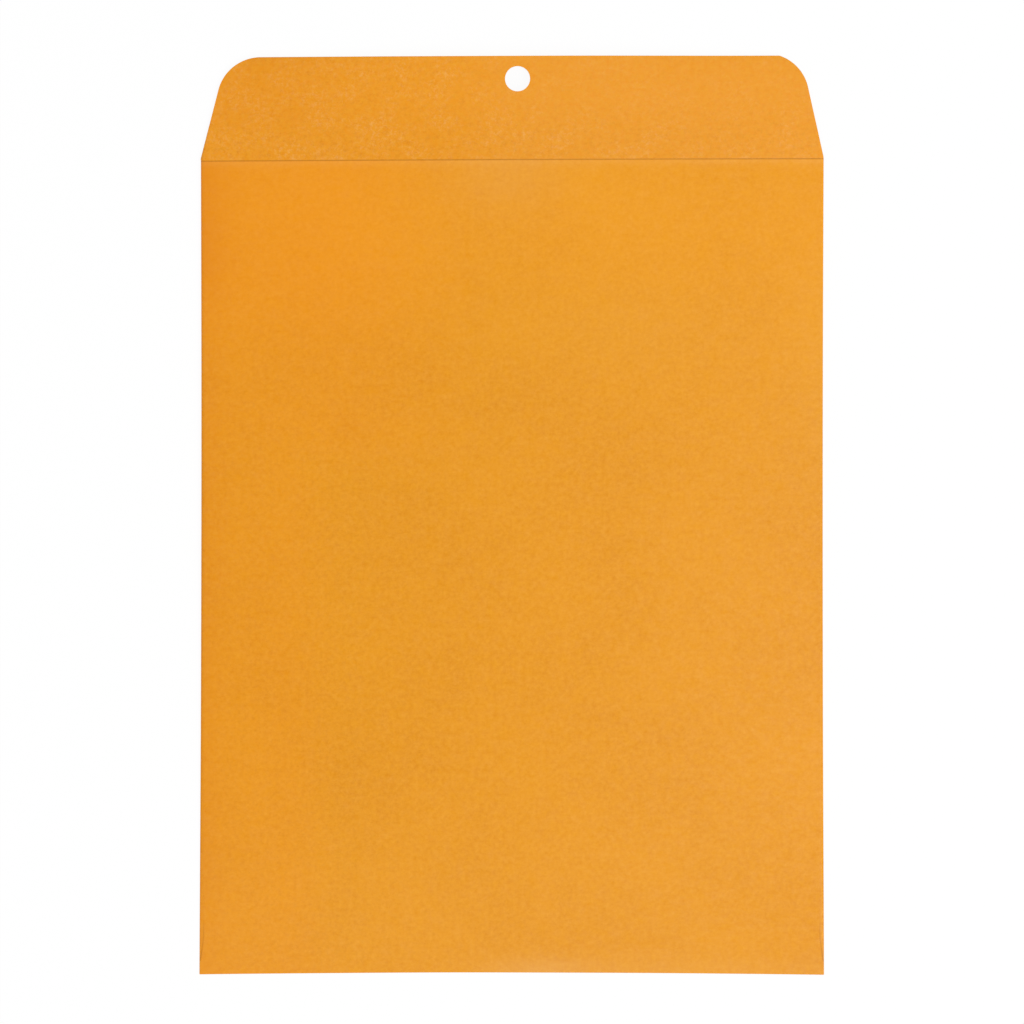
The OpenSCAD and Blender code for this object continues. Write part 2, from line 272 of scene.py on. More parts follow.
# %% The outline of the top flap
TIP_Z, TIP_ARCH = 1.9, 3.8
TIP_SHORTER = 0.38


def flap_edge(w, lean, over, opening):
    """Half the flap's width, w above the crease: a leaning side, then an arc that touches it and would
    rise past the top edge by `over`. Just above the crease it opens out of the folds to its flat width,
    by `opening`."""
    arc_w = FLAP_H + over - FLAP_CORNER_R
    touch = arc_w + FLAP_CORNER_R * math.sin(lean)
    arc_x = CREASE_HALF - touch * math.tan(lean) - FLAP_CORNER_R * math.cos(lean)
    arc = arc_x + np.sqrt(np.maximum(0, FLAP_CORNER_R**2 - (w - arc_w) ** 2))
    return np.where(w < touch, CREASE_HALF - w * math.tan(lean), arc) + opening * ease(w / 0.9)


halfway = [float(flap_edge(FLAP_H / 2, *shape)) for shape in (FLAP_LEFT, FLAP_RIGHT)]
print("width halfway up the flap, mm:", round(sum(halfway), 2))

# %% The top flap and the bottom flap
def top_flap(u, v):
    """Each line up the flap comes down from its height at the crease along a quarter sine, and is level
    round the hole. Its top edge is a flatter arch than the crease, and its right side is 0.38 mm shorter.
    Low waves of 0.08 mm run across it."""
    w, x = v - BODY_H, u * CREASE_HALF / HALF_W
    left, right = flap_edge(w, *FLAP_LEFT), flap_edge(w, *FLAP_RIGHT)
    s = np.clip((2 * x + left - right) / (left + right), -1, 1)
    root = s * CREASE_HALF
    width, height = fold_width(BODY_H), fold_height(BODY_H)
    inner = CREASE_HALF - width
    crown = arch(BODY_H) * clamp01(1 - (root / inner) ** 2) + front_relief(root, BODY_H)
    shoulder = height * (1 + np.sqrt(clamp01(1 - (np.maximum(np.abs(root) - inner, 0) / width) ** 2)))
    down = np.sin(np.pi / 2 * clamp01(w / LEVEL_W))
    waves = 0.08 * np.sin(x / 16 + 0.7) * np.sin(np.pi * clamp01(w / 26))
    z = mix(BACK_HIGH + shoulder + crown, TIP_Z + TIP_ARCH * (1 - s * s), down) + waves + crease_relief(v)
    shorter = TIP_SHORTER * w / FLAP_H * ease(root / HALF_W)
    return x, body_y(root, BODY_H) + w - shorter, z


def bottom_flap(u, v):
    """Half a turn round the bottom fold, and then flat along the table under the back."""
    x, y, z = pocket(u, np.zeros_like(v))
    r = (z - PAPER / 2) / 2
    turn = np.pi * clamp01(-v / (np.pi * r))
    beyond = np.maximum(0, -v - np.pi * r)
    return x, y - r * np.sin(turn) + beyond, PAPER / 2 + r * (1 + np.cos(turn))


def folded(u, v):
    """The place in space of each point of the blank, in millimetres: each of the three maps, where the
    point lies on its part of the blank."""
    body, top = pocket(u, np.clip(v, 0, BODY_H)), top_flap(u, np.maximum(v, BODY_H))
    parts = zip(body, top, bottom_flap(u, np.minimum(v, 0)))
    return np.stack([np.where(v > BODY_H, t, np.where(v < 0, b, p)) for p, t, b in parts], axis=-1)


print("tip of the flap, mm:", folded(np.array([0.0]), np.array([BODY_H + FLAP_H])).round(2))

# %% [markdown]
# ## A grid drawn on the blank
#
# The mesh is a grid of columns and rows on the blank, close together where the paper turns and wide
# apart where it is plain. A column keeps its place in its zone: back panels are measured from their
# glued edge, folds by the share of the turn, and the front by the share of its width. So no column
# ever leaves its fold, although the folds change their width on the way up.

# %% Helpers for the columns
NEAR, BACK, FOLD, FRONT = range(4)
FAR = SEAM_OVERLAP + 20
FRONT_REACH = 124.8  # about half the front panel, from the middle to the start of a fold


def spaced(*runs):
    """Joins runs of (first, last, steps) into one sorted list without doubles."""
    return np.unique(np.concatenate([np.linspace(a, b, n + 1) for a, b, n in runs]).round(4))


def column(side, zone, values):
    """Columns as an array with the rows side, zone and value."""
    return np.stack([np.full(len(values), float(side)), np.full(len(values), float(zone)), values])


print("zones:", dict(near=NEAR, back=BACK, fold=FOLD, front=FRONT))

# %% Columns of the back panels, with one on each edge of the clasp's slits
step_end = SEAM_OVERLAP + 5
near_seam = spaced((0, 0.4, 1), (0.4, SEAM_OVERLAP, 10), (SEAM_OVERLAP, step_end, 8), (step_end, FAR, 6))
slit_half = CLASP_METAL / 2 + SLIT_CLEARANCE
slit_x = HOLE_X + np.array([-1, 1]) * slit_half + np.array([[-1], [1]]) * (BAR_W + CLASP_METAL) / 2
slit_value = RIGHT_PANEL - fold_quarter(CLASP_V) - outline(CLASP_V) + fold_width(CLASP_V) + slit_x.ravel()
near_slits = near_seam[np.abs(near_seam[:, None] - slit_value).min(1) > 0.3]
near_slits = np.sort(np.append(near_slits, slit_value))
back_shares = 1 - (1 - np.linspace(0, 1, 23)[1:]) ** 1.4
print("slits, mm from the right panel's edge:", slit_value.round(2))

# %% Columns of the front, and all of them from the left glued edge round to the right one
WINDOW, WINDOW_CELLS = 7.5, 20  # half the window that is left open round the hole, and its cells
turns = np.linspace(1, -1, 17)[1:]
hole_columns = HOLE_X + np.linspace(-WINDOW, WINDOW, WINDOW_CELLS + 1)
plain = spaced((-120, 120, 76))
plain = plain[np.abs(plain - HOLE_X) > WINDOW + 1.5]
edges = FRONT_REACH - np.array([0.2, 0.5, 1.0, 1.8, 3.2])
front_shares = np.sort(np.concatenate([plain, hole_columns, edges, -edges])) / FRONT_REACH
columns = np.hstack([
    column(-1, NEAR, near_seam), column(-1, BACK, back_shares), column(-1, FOLD, turns),
    column(1, FRONT, front_shares),
    column(1, FOLD, turns[::-1]), column(1, BACK, back_shares[::-1]), column(1, NEAR, near_slits[::-1]),
])
print("columns:", columns.shape[1])

# %% Rows, from the bottom flap's free edge up to the top flap's
LOW_END, PLAIN_END, LIFT_END = 18, 278, CLASP_V + LIFT_Y
slit_rows = CLASP_V + np.array([-1, 1]) * (EAR_W / 2 + SLIT_CLEARANCE)
tuck_rows = np.array([BOTTOM_FLAP, 29.6, 28.5, 26, 22, 18, 14, 10, 7, 4.5, 2.5, 1.2, 0.4])
bend_rows = np.linspace(1, 0, 9)[:-1]
low_rows = LOW_END * np.linspace(0, 1, 24) ** 1.8
high_rows = BODY_H - (BODY_H - LIFT_END) * np.linspace(1, 0, 22) ** 2.2
body_rows = np.unique(np.concatenate([
    low_rows, [NOTCH_H], np.linspace(LOW_END, PLAIN_END, 54),
    slit_rows, np.linspace(PLAIN_END, LIFT_END, 14), high_rows,
]).round(3))
body_rows = body_rows[np.insert(np.diff(body_rows) > 0.012, 0, True)]
lower_rows = LEVEL_W * np.linspace(0, 1, 20)[1:] ** 2
window_rows = HOLE_W + np.linspace(-WINDOW, WINDOW, WINDOW_CELLS + 1)
upper_rows = FLAP_H - (FLAP_H - HOLE_W - WINDOW) * np.linspace(1, 0, 10)[1:] ** 2
flap_rows = np.concatenate([lower_rows, window_rows, upper_rows])
print("rows:", len(tuck_rows), len(bend_rows), len(body_rows), len(flap_rows))

# %% [markdown]
# The die that cuts the blank leaves notches in the bottom corners and dips in the upper edge of the
# back, and it tapers both flaps. Cells could be cut across along those lines, but that leaves ragged
# slivers. So each grid point is moved to where the blank has paper, and the grid follows the cut.

# %% Where each column and each row lies on the blank
def blank_u(v):
    """u of every column at the heights v, which has one value for each column or for all: a share of the
    front, or half the width and what lies beyond it, by the column's zone."""
    side, zone, value = columns[:, :, None]
    panel = np.where(side < 0, LEFT_PANEL, RIGHT_PANEL)
    quarter = fold_quarter(v)
    beyond = [panel - value, panel - mix(FAR, panel - quarter, value)]
    beyond = np.select([zone == NEAR, zone == BACK], beyond, quarter * value)
    return np.where(zone == FRONT, (HALF_W - quarter) * value, side * (HALF_W + beyond))


def trimmed(u, v):
    """v, moved so that the first row follows the notch and the last one the throat of the back."""
    past = np.maximum(0, np.abs(u) - HALF_W)
    panel = np.where(u < 0, LEFT_PANEL, RIGHT_PANEL)
    notch = NOTCH_H * clamp01(past / NOTCH_W)
    dip = (THROAT_MIDDLE - THROAT_SIDE) * ease((past - NOTCH_W) / (panel - NOTCH_W))
    drop = THROAT_SIDE * clamp01(past / NOTCH_W) + dip
    low, band = 3 * NOTCH_H, HOLE_W - LIFT_Y
    v = np.where(v < low, mix(notch, low, v / low), v)
    return np.where(v > BODY_H - band, mix(BODY_H - band, BODY_H - drop, 1 - (BODY_H - v) / band), v)


def bend_radius(u):
    """Radius of the bottom fold: half the distance from the front panel there down to the table."""
    return (pocket(u, np.zeros_like(u))[2] - PAPER / 2) / 2


print(f"radius of the bottom fold: {bend_radius(np.array([0.0]))[0]:.2f} mm")

# %% The grid: bottom flap, bottom fold, body and top flap
body_v = trimmed(blank_u(body_rows), body_rows + 0 * blank_u(body_rows))
body_u = blank_u(body_v)
foot, head = blank_u(np.zeros(1)), blank_u(np.full(1, BODY_H))
tuck_u = foot * (1 - tuck_rows * math.tan(BOTTOM_LEAN) / HALF_W)
tuck_v = -np.pi * bend_radius(tuck_u) - tuck_rows
bend_v = -np.pi * bend_radius(foot) * bend_rows
flap_side = np.where(head < 0, flap_edge(flap_rows, *FLAP_LEFT), flap_edge(flap_rows, *FLAP_RIGHT))
flap_side = flap_side * HALF_W / CREASE_HALF
flap_u = head + np.sign(head) * np.abs(head / HALF_W) ** 3 * (flap_side - HALF_W)
grid_u = np.hstack([tuck_u, foot + 0 * bend_rows, body_u, flap_u])
grid_v = np.hstack([tuck_v, bend_v, body_v, BODY_H + flap_rows + 0 * head])
print("grid:", grid_u.shape)

# %% Which cells have paper: none beside the flaps, in the slits or in the window round the hole
count_u, count_v = grid_u.shape
first_body = len(tuck_rows) + len(bend_rows)
last_body = first_body + len(body_rows) - 1
cell_u, cell_v = np.arange(count_u - 1)[:, None], np.arange(count_v - 1)[None, :]
to_fold_line = len(back_shares) + int(np.argmin(np.abs(turns)))
first_front = len(near_seam) + to_fold_line
last_front = count_u - 1 - len(near_slits) - to_fold_line
paper = ((cell_v >= first_body) & (cell_v < last_body)) | ((cell_u >= first_front) & (cell_u < last_front))

window_u = len(near_seam) + len(back_shares) + len(turns)
window_u = window_u + int(np.searchsorted(front_shares, hole_columns[0] / FRONT_REACH - 1e-6))
window_v = last_body + 1 + len(lower_rows)
paper[window_u : window_u + WINDOW_CELLS, window_v : window_v + WINDOW_CELLS] = False
row_a, row_b = (first_body + int(np.argmin(np.abs(body_rows - v))) for v in slit_rows)
for left, right in slit_value.reshape(2, 2):
    i = count_u - 1 - np.searchsorted(near_slits, [right - 1e-6, left - 1e-6])
    paper[i[0] : i[1], row_a:row_b] = False
print("fold lines:", columns[:, first_front], columns[:, last_front])
window_corner = float(grid_u[window_u, window_v]), float(grid_v[window_u, window_v])
print("cells:", int(paper.sum()), "window's corner:", np.round(window_corner, 2))

# %% [markdown]
# A Boolean modifier could punch the hole, but it leaves long thin triangles that shade badly. Instead
# a square window stays open in the grid, and six rings of cells lead from it to the round edge.

# %% Rings that lead from the window round the hole to its punched edge
k = np.arange(WINDOW_CELLS)
loop_u = window_u + np.concatenate([k, WINDOW_CELLS + 0 * k, WINDOW_CELLS - k, 0 * k])
loop_v = window_v + np.concatenate([0 * k, k, WINDOW_CELLS + 0 * k, WINDOW_CELLS - k])
square = np.stack([grid_u[loop_u, loop_v], grid_v[loop_u, loop_v]], 1)
hole_centre = np.array([HOLE_X * HALF_W / CREASE_HALF, BODY_H + HOLE_W])
direction = square - hole_centre
circle = hole_centre + HOLE_R * direction / np.linalg.norm(direction, axis=1)[:, None]
ring_shares = 0.3, 0.55, 0.75, 0.89, 0.97, 1.0
ring_points = np.concatenate([mix(square, circle, q) for q in ring_shares])
blank = np.concatenate([np.stack([grid_u.ravel(), grid_v.ravel()], 1), ring_points])
rings = np.concatenate([loop_u * count_v + loop_v, grid_u.size + np.arange(len(ring_points))])
rings = rings.reshape(len(ring_shares) + 1, len(square))
print("points on each ring:", len(square), "rings:", len(rings))

# %% Cells of the grid and of the rings, and the points that they use
i, j = np.nonzero(paper)
at = i * count_v + j
cells = np.stack([at, at + count_v, at + count_v + 1, at + 1], 1)
after = np.roll(rings, -1, axis=1)
cells = np.concatenate([cells, np.stack([rings[:-1], after[:-1], after[1:], rings[1:]], -1).reshape(-1, 4)])
used, cells = np.unique(cells, return_inverse=True)
blank, cells = blank[used], cells.reshape(-1, 4)
print("points:", len(blank), "cells:", len(cells))

# %% [markdown]
# ## Paper has two faces and a cut edge
#
# A Solidify modifier could give the sheet its thickness. It is worked out here instead, because then
# each face knows which side of the paper it is on, and the cut edge gets its own, paler finish.

# %% The two faces and the rim as one mesh
def facing(points, cells):
    """Direction of the sheet at each point: the sum of its cells' directions, each of length 1."""
    a, b, c, d = (points[cells[:, n]] for n in range(4))
    across = np.cross(c - a, d - b)
    across /= np.maximum(np.linalg.norm(across, axis=1), 1e-12)[:, None]
    corners = cells.ravel()
    total = [np.bincount(corners, np.repeat(across[:, n], 4), len(points)) for n in range(3)]
    total = np.stack(total, 1)
    return total / np.linalg.norm(total, axis=1)[:, None]


def open_edges(cells, count):
    """The cells' edges, in their own direction, that no other cell runs along in the opposite one."""
    a, b = cells.ravel(), np.roll(cells, -1, axis=1).ravel()
    alone = ~np.isin(a * count + b, b * count + a)
    return np.stack([a[alone], b[alone]], 1)


middle = folded(blank[:, 0], blank[:, 1])
normal = facing(middle, cells)
count = len(blank)
skin = np.concatenate([middle + PAPER / 2 * normal, middle - PAPER / 2 * normal])
rim = open_edges(cells, count)
rim_faces = np.stack([rim[:, 1], rim[:, 0], rim[:, 0] + count, rim[:, 1] + count], 1)
faces = np.concatenate([cells, cells[:, ::-1] + count, rim_faces])
print("size, mm:", (skin.max(0) - skin.min(0)).round(2), "faces:", len(faces))

# %% The mesh, with the blank as its UV map
def make_mesh(name, points, faces, blank_uv):
    """Points in mm and four-cornered faces into a smooth mesh, with the blank as its UV map in metres.
    An edge where the surface turns by more than 50 degrees stays sharp."""
    mesh = bpy.data.meshes.new(name)
    mesh.vertices.add(len(points))
    mesh.vertices.foreach_set("co", (points * MM).astype(np.float32).ravel())
    mesh.loops.add(faces.size)
    mesh.loops.foreach_set("vertex_index", faces.astype(np.int32).ravel())
    mesh.polygons.add(len(faces))
    mesh.polygons.foreach_set("loop_start", np.arange(0, faces.size, 4, dtype=np.int32))
    mesh.update(calc_edges=True)
    corner_uv = (blank_uv[faces.ravel()] * MM).astype(np.float32).ravel()
    mesh.uv_layers.new(name="blank").data.foreach_set("uv", corner_uv)
    mesh.polygons.foreach_set("use_smooth", np.ones(len(faces), bool))
    mesh.set_sharp_from_angle(angle=math.radians(50))
    return mesh


sheet_mesh = make_mesh("envelope_paper", skin, faces, np.concatenate([blank, blank]))
print("changed by validation:", sheet_mesh.validate(), "triangles:", 2 * len(faces))

# %% The sheet rides on the body and stands for its plain solid
sheet = bpy.data.objects.new("envelope_paper", sheet_mesh)
bpy.context.scene.collection.objects.link(sheet)
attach(sheet, "root")
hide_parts("envelope_sheet")
clasp = frame["nodes"]["clasp"]
print("the clasp keeps its CAD mesh:", len(clasp.data.polygons), "faces")

# %% [markdown]
# ## What the material has to know about each place
#
# The tones of the sheet are not spread evenly, and several of them are painted light and shade. A dark
# line runs along the crease and the starts of the side folds, partly pressed paper and partly painted
# shade, and the side folds are rubbed pale with painted shade at the outline. The front panel grows
# brighter and yellower towards the crease. The bottom fold, the paper below the crease and the right of
# the flap have a painted pale sheen, the left side has painted light that makes it warmer and painted
# shade along its edge, the right side has a painted paler sheen, and the flap is full of pale specks. An
# image texture could hold all that, but it would be a picture of one envelope. Here each mark, and the
# band of gum, is a function of the place on the blank, in millimetres, and it is stored in the mesh for
# the material to read.

# %% Marks of the folding: pressed lines darkened with painted shade, and rubbed bends with painted edge shade
u, v = np.concatenate([blank, blank]).T
flap, below, above = v > BODY_H, BODY_H - v, v - BODY_H
marks = {}
inset = HALF_W - fold_quarter(np.clip(v, 0, BODY_H)) - np.abs(u)
# The dark line along the crease and the starts of the side folds is partly pressed paper and partly painted
# shade. It is darkest in the bottom corners, where the fold's shade falls.
fold_line = np.where((v > 5) & (v < BODY_H), bell(inset / 0.2), 0)
corner = 0.45 * ease((24 - v) / 8) + 0.5 * ease((13 - v) / 7)
marks["pressed"] = clamp01(bell(above / 0.22) + (0.1 + corner) * fold_line)
# Paler rubbed paper along the side folds, toned darker in red as painted shade where the fold turns down to
# the table.
marks["rubbed_and_edge_shaded"] = bell((np.abs(u) - HALF_W) / 0.35) * (v < BODY_H)
print("pressed points:", int((marks["pressed"] > 0.5).sum()))

# %% Marks of the pulp: pale specks and dark flecks
marks["paler"] = clamp01(above / 0.4)
many = (0.28 + 0.1 * ease(0.45 - u / 160)) * (0.85 + 0.3 * bell((above - 7) / 7))
fewer = 1 - 0.5 * ease((above - 12) / 14) * ease((u + 30) / 60)
marks["specks"] = 0.06 + marks["paler"] * many * fewer
marks["flecks"] = np.where(flap, marks["specks"], 0.06 + 0.26 * ease((20 - u) / 120))
print("most specks:", marks["specks"].max().round(2))
print("most flecks on the body:", marks["flecks"][~flap].max().round(2))

# %% Painted sheen at the bottom fold, below the crease and on the right of the flap, and a front panel brighter towards the crease
# Painted sheen: pale patches where the glazed paper catches the lamps' light, over the bottom fold, just
# below the crease, in a patch below the middle of the crease and on the right of the flap.
bottom = 0.22 * bell(v / 60) * ease((125 - u) / 60)
bottom_edge = bell(v / 6) * (bell((u - 8) / 20) + 0.5 * ease((u + 10) / 40))
crease = 0.5 * bell(below / 2.4) + 0.55 * bell((u + 2) / 22) * bell((below - 6) / 14)
marks["painted_sheen_patches"] = np.where(flap, 0.27 * ease((u + 35) / 50), bottom + bottom_edge + crease)
# The front panel's colour grows brighter and yellower towards the crease.
marks["brighter_towards_crease"] = np.where(flap, 0, ease((v - 225) / 95))
print("most scuffed:", marks["painted_sheen_patches"].max().round(2))

# %% Painted light and shade across the width: a warmer, brighter left side, painted shade along the left edge, painted sheen on the right
# Painted light: the left third and the upper left are made warmer and brighter in red, where the lamps give
# them too little light.
side = 0.42 * ease((-65 - u) / 30)
upper = ease(-u / 85) * (0.55 * ease((v - 195) / 30) + 0.45 * ease((v - 235) / 55))
marks["left_side_painted_light"] = np.where(flap, 0, np.maximum(side, upper))
# Painted shade: a darker, redder strip along the left edge, wider near the top, and a darker left part of the
# flap, which face away from the lamps.
left_edge = 0.3 * bell((u + HALF_W) / 9) + 0.35 * bell((u + HALF_W) / 14) * ease((v - 265) / 25)
marks["left_side_painted_shade"] = np.where(flap, 0.2 * ease((-60 - u) / 40) * ease((above - 8) / 12), left_edge)
# Painted sheen: a paler strip along the right side, where the light from the right catches the paper, and a
# paler patch to the right of the middle.
right_edge = bell((u - HALF_W) / 16) * ease((v - 160) / 80) * ease((310 - v) / 40)
marks["right_side_painted_sheen"] = np.where(flap, 0, right_edge + bell((u - 45) / 45) * bell((v - 262) / 18))
print("warm, deep and faded on average:", [marks[name].mean().round(3) for name in ("left_side_painted_light", "left_side_painted_shade", "right_side_painted_sheen")])

# %% The gum of the flap, and all marks into the mesh
def give(mesh, name, domain, values):
    """Stores one number for each point or face, for the material to read."""
    mesh.attributes.new(name, "FLOAT", domain).data.foreach_set("value", np.asarray(values, np.float32))


band = ease((above - 13) / 0.8) * ease((FLAP_H - 1.5 - above) / 0.8)
marks["gum"] = band * (np.hypot(u - HOLE_X, above - HOLE_W) > 11)
for name, values in marks.items():
    give(sheet_mesh, name, "POINT", values)
give(sheet_mesh, "inside", "FACE", np.repeat([0.0, 1.0, 0.0], [len(cells), len(cells), len(rim_faces)]))
give(sheet_mesh, "cut_edge", "FACE", np.repeat([0.0, 1.0], [2 * len(cells), len(rim_faces)]))
print("marks on the points:", ", ".join(marks))

# %% [markdown]
# ## Materials
#
# Each material is a small tree of nodes. One helper adds a node with its settings and its inputs, and
# another turns the hex colours of a paint chart, which are sRGB, into the linear light Blender uses.

# %% Helpers for materials
def linear(hex_colour):
    """Linear red, green, blue and alpha of an sRGB hex colour: each channel is ((c + 0.055) / 1.055) to
    the power 2.4, or c / 12.92 where it is very dark."""
    c = np.array([int(hex_colour[n : n + 2], 16) / 255 for n in (1, 3, 5)])
    return (*np.where(c > 0.04045, ((c + 0.055) / 1.055) ** 2.4, c / 12.92).tolist(), 1.0)


def add_node(tree, kind, inputs=(), **settings):
    """Adds a node. Inputs go by name or place, each a plain value or another node's output."""
    node = tree.nodes.new("ShaderNode" + kind)
    for name, value in settings.items():
        setattr(node, name, value)
    for name, value in dict(inputs).items():
        if isinstance(value, bpy.types.NodeSocket):
            tree.links.new(value, node.inputs[name])
        else:
            node.inputs[name].default_value = value
    return node


def new_material(name):
    """An empty material: its tree and its output node."""
    material = bpy.data.materials.new(name)
    material.use_nodes = True
    material.node_tree.nodes.clear()
    return material, material.node_tree, material.node_tree.nodes.new("ShaderNodeOutputMaterial")


print("kraft brown in linear light:", np.round(linear("#DC8800"), 3))

# %% [markdown]
# ### Machine-glazed kraft
#
# Kraft paper is unbleached wood pulp, here dyed golden brown, and one face is glazed against a hot
# drum. The eye sees a warm even colour with a soft sheen, in which denser and thinner pulp makes
# clouds of three sizes: 55 mm, 9 mm and 2 mm. There are a few long fibres, clusters of pale specks
# where the pulp was not dyed through, and dark flecks of bark, more of them to the left. A pulp fibre
# is 0.03 mm wide, too fine for this view, so the fibres are drawn 0.3 mm wide. All of these are noise
# on the blank, since a pattern that follows the blank runs round the folds as on real paper.

# %% Kraft paper: what the mesh says about each place
kraft, tree, out = new_material("kraft_paper_machine_glazed")
share = {}
for name in (*marks, "inside", "cut_edge"):
    share[name] = add_node(tree, "Attribute", attribute_name=name).outputs["Fac"]
print("marks read from the mesh:", len(share))

# %% Kraft paper: the grain of the pulp
on_blank = add_node(tree, "UVMap", uv_map="blank").outputs[0]
grains = (  # name, size of a cloud in mm, times longer than wide, turn, octaves, roughness, lowest, highest
    ("clouds", 55, 1, 0, 1, 0.5, 0.35, 0.65),
    ("billows", 9, 1, 0, 3, 0.6, 0.3, 0.7),
    ("mottle", 1.9, 1, 0, 4, 0.75, 0.3, 0.7),
    ("pale", 2.0, 1, 0, 4, 0.85, 0.48, 0.75),
    ("dark", 2.4, 1, 0, 4, 0.85, 0.48, 0.75),
    ("clusters", 12, 1, 0, 2, 0.6, 0.38, 0.62),
    ("glaze", 5.0, 1, 0, 5, 0.85, 0.3, 0.7),
    ("fibres", 0.3, 9, 24, 0, 0.5, 0.66, 0.72),
    ("cross_fibres", 0.3, 9, -47, 0, 0.5, 0.66, 0.72),
    ("felt", 2.0, 1, 0, 5, 0.65, 0.0, 1.0),
)
for name, size, length, turn, octaves, rough, lowest, highest in grains:
    turned = {"Vector": on_blank, "Rotation": (0, 0, math.radians(turn)), "Scale": (1 / length, 1, 1)}
    placed = add_node(tree, "Mapping", turned).outputs[0]
    clumps = {"Vector": placed, "Scale": 1 / (size * MM), "Detail": octaves, "Roughness": rough}
    noise = add_node(tree, "TexNoise", clumps).outputs["Fac"]
    share[name] = add_node(tree, "MapRange", {0: noise, 1: lowest, 2: highest}).outputs[0]
print("finest grain, mm:", min(row[1] for row in grains))

# %% Kraft paper: grains only where the marks call for them
products = (  # new share, and the two shares that it is the product of
    ("clustered", "pale", "clusters"),
    ("pale_grains", "clustered", "specks"),
    ("dark_grains", "dark", "flecks"),
    ("gummed", "gum", "inside"),
)
for name, a, b in products:
    share[name] = add_node(tree, "Math", {0: share[a], 1: share[b]}, operation="MULTIPLY").outputs[0]
print("shares to colour with:", len(share))

# %% Kraft paper: colour, one layer over the other
layers = (  # what places the layer, how much of it there is at most, its colour
    ("clouds", 0.5, "#E89402"),
    ("billows", 0.4, "#EC9804"),
    ("paler", 0.74, "#F29412"),
    ("mottle", 0.65, "#EFA628"),
    ("dark_grains", 0.9, "#C06C00"),
    ("pale_grains", 0.95, "#FFCC88"),
    ("fibres", 0.1, "#F4B038"),
    ("cross_fibres", 0.1, "#F4B038"),
    # These layers hold painted light and shade as well as the paper's own colour: brighter towards the
    # crease, painted light and painted shade on the left, painted sheen on the right, painted sheen patches,
    # and the painted shade of the pressed lines and rubbed folds.
    ("brighter_towards_crease", 0.22, "#FFA61C"),
    ("left_side_painted_light", 0.3, "#FF940C"),
    ("left_side_painted_shade", 0.5, "#DC7800"),
    ("right_side_painted_sheen", 0.1, "#F6B444"),
    ("inside", 0.35, "#E3941C"),
    ("painted_sheen_patches", 0.15, "#F0C080"),
    ("pressed", 0.8, "#B8700A"),
    ("rubbed_and_edge_shaded", 0.3, "#DCA75E"),
    ("cut_edge", 0.6, "#EFC07C"),
    ("gummed", 0.3, "#CC850C"),
)
colour = linear("#DC8800")
for name, most, hex_colour in layers:
    part = add_node(tree, "Math", {0: share[name], 1: most}, operation="MULTIPLY").outputs[0]
    colour = add_node(tree, "Mix", {0: part, 6: colour, 7: linear(hex_colour)}, data_type="RGBA").outputs[2]
print("layers of colour:", len(layers))

# %% [markdown]
# The glaze lies on the outside of the paper: the inside is rougher, and the dried gum shines. The
# sheen also comes and goes over a few millimetres, where the drum has pressed the pulp more or less.
# A felt texture 0.02 mm deep keeps the highlights soft.

# %% Kraft paper: sheen and surface
roughness = 0.45
for name, change in (("inside", 0.14), ("gummed", -0.32)):
    sum_up = {0: share[name], 1: change, 2: roughness}
    roughness = add_node(tree, "Math", sum_up, operation="MULTIPLY_ADD").outputs[0]
gloss = add_node(tree, "Math", {0: share["glaze"], 1: 0.24, 2: 0.13}, operation="MULTIPLY_ADD").outputs[0]
relief = add_node(tree, "Bump", {"Height": share["felt"], "Strength": 1.0, "Distance": 0.02 * MM}).outputs[0]
finish = {"Base Color": colour, "Roughness": roughness, "IOR": 1.47}
finish.update({"Specular IOR Level": gloss, "Normal": relief})
paper_shader = add_node(tree, "BsdfPrincipled", finish).outputs[0]
tree.links.new(paper_shader, out.inputs[0])
sheet_mesh.materials.append(kraft)
print("kraft nodes:", len(tree.nodes))

# %% [markdown]
# ### Tinned steel
#
# The clasp is stamped from steel strip with a thin coat of tin. It gives a light grey metal, satin
# rather than bright, with fine streaks along the strip from the rolls. Its CAD mesh has the right
# shape, so it only gets this material. The streaks are drawn 0.15 mm wide, which is coarser than real.

# %% Tinned steel: colour and stains
tinned, tree, out = new_material("tinned_steel_satin")
place = add_node(tree, "TexCoord").outputs["Object"]
stains = add_node(tree, "TexNoise", {"Vector": place, "Scale": 1 / (3 * MM), "Detail": 3}).outputs["Fac"]
stained = add_node(tree, "MapRange", {0: stains, 1: 0.35, 2: 0.7}).outputs[0]
tin = {0: stained, 6: linear("#D2D3D2"), 7: linear("#C2C2BF")}
tin_colour = add_node(tree, "Mix", tin, data_type="RGBA").outputs[2]
print("tin in linear light:", np.round(linear("#D2D3D2"), 3))

# %% Tinned steel: streaks from the rolls, on every slot of the clasp
along = add_node(tree, "Mapping", {"Vector": place, "Scale": (0.03, 1, 1)}).outputs[0]
streaks = add_node(tree, "TexNoise", {"Vector": along, "Scale": 1 / (0.15 * MM), "Detail": 2}).outputs["Fac"]
satin = add_node(tree, "MapRange", {0: streaks, 1: 0.3, 2: 0.7, 3: 0.26, 4: 0.38}).outputs[0]
rolled = add_node(tree, "Bump", {"Height": streaks, "Strength": 0.3, "Distance": 0.01 * MM}).outputs[0]
finish = {"Base Color": tin_colour, "Metallic": 1.0, "Roughness": satin, "Normal": rolled}
tree.links.new(add_node(tree, "BsdfPrincipled", finish).outputs[0], out.inputs[0])
for slot in clasp.material_slots:
    slot.link = "OBJECT"
    slot.material = tinned
print("clasp slots:", len(clasp.material_slots))

# %% [markdown]
# ## A white table and a white studio
#
# The photograph is a product shot from straight above on white. The table is a wide white disc that
# takes the envelope's faint shadow, and to the camera it is nearly as bright as the white world, so
# that its rim does not show. More light would make the table white too, but it would bleach the
# paper. So only what the camera sees, directly or in a reflection, is turned white, and the paper
# is lit at a plain level.

